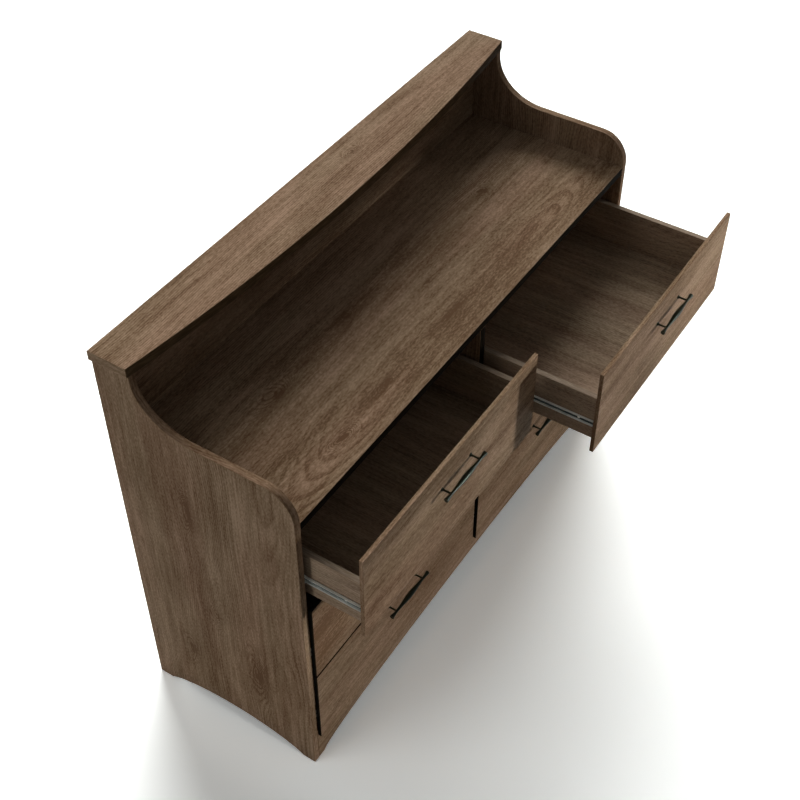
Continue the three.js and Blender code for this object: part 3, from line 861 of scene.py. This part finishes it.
# The cabinet channels stand on the side panels and the partition, level with each drawer's rails
sideThickness = sidePanel["thickness"] * mm
channelFaces = {"left": (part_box("side_left")[0].x + sideThickness, -partitionHalf),
                "right": (partitionHalf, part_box("side_right")[1].x - sideThickness)}
heads = []
for drawerName in drawerNames:
    column = drawerName.split("_")[1]
    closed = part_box(f"lower_{column}_rail_left")
    for side, outward, faceX in zip(("left", "right"), (-1, 1), channelFaces[column]):
        railLow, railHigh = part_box(f"{drawerName}_rail_{side}")
        middleZ = (railLow.z + railHigh.z) / 2
        line = channelLine(slide["steel"] / 2, slide["channelOpening"],
                           slide["channelHalf"] - slide["steel"] / 2, 0.0)
        channel = steelChannel(f"{drawerName}_channel_{side}", faceX, -outward, middleZ, closed[0].y, closed[1].y,
                               line, slide["steel"])
        settle(channel, "carcase")
        heads += screwRow(faceX - outward * slide["steel"] * mm, -outward, closed, middleZ, channelScrew)
settle(joinedPiece("channel_screws", heads, zincSteel, 35), "carcase")
print("slides made")

# Screws that hold the handles, seen inside the drawers
for drawerName in drawerNames:
    handleLow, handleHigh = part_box(drawerName + "_handle")
    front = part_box(drawerName + "_front")
    middle = np.array(((handleLow.x + handleHigh.x) / 2, front[1].y, (handleLow.z + handleHigh.z) / 2))
    heads = [screwHead(middle + np.array((hand * handle["centres"] / 2 * mm, 0, 0)), (0, 1, 0), handleScrew)
             for hand in (-1, 1)]
    settle(joinedPiece(drawerName + "_handle_screws", heads, zincSteel, 35), drawerName + "_drawer")

# Nails round the back panel
nails = {"radius": 2.2, "height": 0.8, "rim": 0.1, "shoulder": (0.8, 0.7), "sides": 10, "inset": 8, "spacing": 150}


def nailHead(base, axis, size):
    shareOut, shareUp = size["shoulder"]
    profile = np.array([(0, 0), (size["radius"], size["rim"]), (size["radius"] * shareOut, size["height"] * shareUp),
                        (0, size["height"])]) * mm
    return turned(profile, base, axis, size["sides"])


low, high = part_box("back_panel")
inset = nails["inset"] * mm
acrossCount = round((high.x - low.x) / (nails["spacing"] * mm))
upCount = round((high.z - low.z) / (nails["spacing"] * mm))
xs = np.linspace(low.x + inset, high.x - inset, acrossCount + 1)
zs = np.linspace(low.z + inset, high.z - inset, upCount + 1)[1:-1]
spots = [(x, z) for x in xs for z in (low.z + inset, high.z - inset)]
spots += [(x, z) for z in zs for x in (low.x + inset, 0.0, high.x - inset)]
heads = [nailHead(np.array((x, high.y, z)), (0, 1, 0), nails) for x, z in spots]
settle(joinedPiece("back_panel_nails", heads, zincSteel, 30), "carcase")
print("screws and nails made")


# Studio: a pale floor, wide suns from behind, gridded soft boxes and a white background.
# Azimuths are in degrees from the right end (+x) towards the back (+y). Reaches and places are in metres.
studio = {"ambient": 0.165, "mirrored": 0.04, "floor": 0.45, "floorFar": 0.08, "innerReach": 1.3, "outerReach": 2.4,
          "floorSeen": 1.58, "floorLift": 0.05, "floorTint": (0.975, 1, 0.98, 1), "floorHalf": 30}
lamps = {
    "rightBack": {"azimuth": 33, "elevation": 24, "angle": 48, "strength": 5.2, "mirrored": False},
    "leftBack": {"azimuth": 146, "elevation": 45, "angle": 36, "strength": 0.4, "mirrored": False},
}
softBoxes = {
    "frontBox": {"middle": (0.731, -1.374, 0.80), "azimuth": 303, "elevation": 9, "size": (1.13, 0.34), "spread": 7,
                 "power": 0.77, "mirrored": True},
    "rightBox": {"middle": (1.18, -1.08, 0.77), "azimuth": 303, "elevation": 9, "size": (0.60, 0.28), "spread": 12,
                 "power": 0.27, "mirrored": False},
    "lowBox": {"middle": (0, -1.55, 0.37), "azimuth": 270, "elevation": 9, "size": (1.40, 0.52), "spread": 7,
               "power": 0.95, "mirrored": False},
    "leftBox": {"middle": (-1.8, 0.62, 0.46), "azimuth": 158, "elevation": 0, "size": (0.9, 1.04), "spread": 9,
                "power": 0.76, "mirrored": False},
}


def makeFloor(settings):
    # The camera sees one pale floor; the light it sends back fades from the inner to the outer reach round the object
    half = settings["floorHalf"]
    points = np.array([(-half, -half, 0), (half, -half, 0), (half, half, 0), (-half, half, 0)], float)
    mesh = bpy.data.meshes.new("floor")
    mesh.from_pydata(points, [], [(0, 1, 2, 3)])
    floor = addObject("floor", mesh)
    material, tree, shader = newMaterial("paleFloor")
    tree.nodes.remove(shader)
    place = addNode(tree, "TexCoord").outputs["Object"]
    distance = addNode(tree, "VectorMath", {0: place}, operation="LENGTH").outputs["Value"]
    returned = remap(tree, distance, settings["outerReach"], settings["innerReach"],
                     settings["floorFar"], settings["floor"])
    isCamera = addNode(tree, "LightPath").outputs["Is Camera Ray"]
    level = mixColours(tree, isCamera, returned, (settings["floorSeen"],) * 3 + (1,))
    tinted = mixColours(tree, 1.0, level, settings["floorTint"], "MULTIPLY")
    diffuse = addNode(tree, "BsdfDiffuse", {"Color": tinted})
    lift = mixColours(tree, isCamera, (0, 0, 0, 1), (settings["floorLift"],) * 3 + (1,))
    glow = addNode(tree, "Emission", {"Color": lift})
    surface = addNode(tree, "AddShader", {0: diffuse.outputs[0], 1: glow.outputs[0]})
    tree.links.new(surface.outputs[0], tree.nodes["Material Output"].inputs["Surface"])
    mesh.materials.append(material)


def makeWorld(settings):
    world = bpy.data.worlds.new("studio")
    scene.world = world
    world.use_nodes = True
    tree = world.node_tree
    paths = addNode(tree, "LightPath")
    seen = maths(tree, "MAXIMUM", paths.outputs["Is Camera Ray"], paths.outputs["Is Transmission Ray"])
    strength = maths(tree, "MULTIPLY_ADD", seen, 1 - settings["ambient"], settings["ambient"])
    strength = maths(tree, "MULTIPLY_ADD", paths.outputs["Is Glossy Ray"], settings["mirrored"] - settings["ambient"],
                     strength)
    background = tree.nodes["Background"]
    background.inputs["Color"].default_value = (1, 1, 1, 1)
    tree.links.new(strength, background.inputs["Strength"])


def makeLamp(name, settings):
    data = bpy.data.lights.new(name, "SUN")
    data.energy = settings["strength"]
    data.angle = radians(settings["angle"])
    lamp = addObject(name, data)
    lamp.rotation_euler = (0, radians(90 - settings["elevation"]), radians(settings["azimuth"]))
    lamp.visible_glossy = settings["mirrored"]


def makeSoftBox(name, settings):
    # A gridded soft box: its light leaves within the spread, so it lights little beyond what it faces
    data = bpy.data.lights.new(name, "AREA")
    data.shape = "RECTANGLE"
    data.size, data.size_y = settings["size"]
    data.spread = radians(settings["spread"])
    data.energy = settings["power"]
    lamp = addObject(name, data)
    lamp.location = settings["middle"]
    lamp.rotation_euler = (radians(90 - settings["elevation"]), 0, radians(settings["azimuth"] + 90))
    lamp.visible_glossy = settings["mirrored"]
    lamp.visible_camera = False


makeFloor(studio)
makeWorld(studio)
for lampName, settings in lamps.items():
    makeLamp(lampName, settings)
for lampName, settings in softBoxes.items():
    makeSoftBox(lampName, settings)
print("studio made")

bpy.context.view_layer.update()
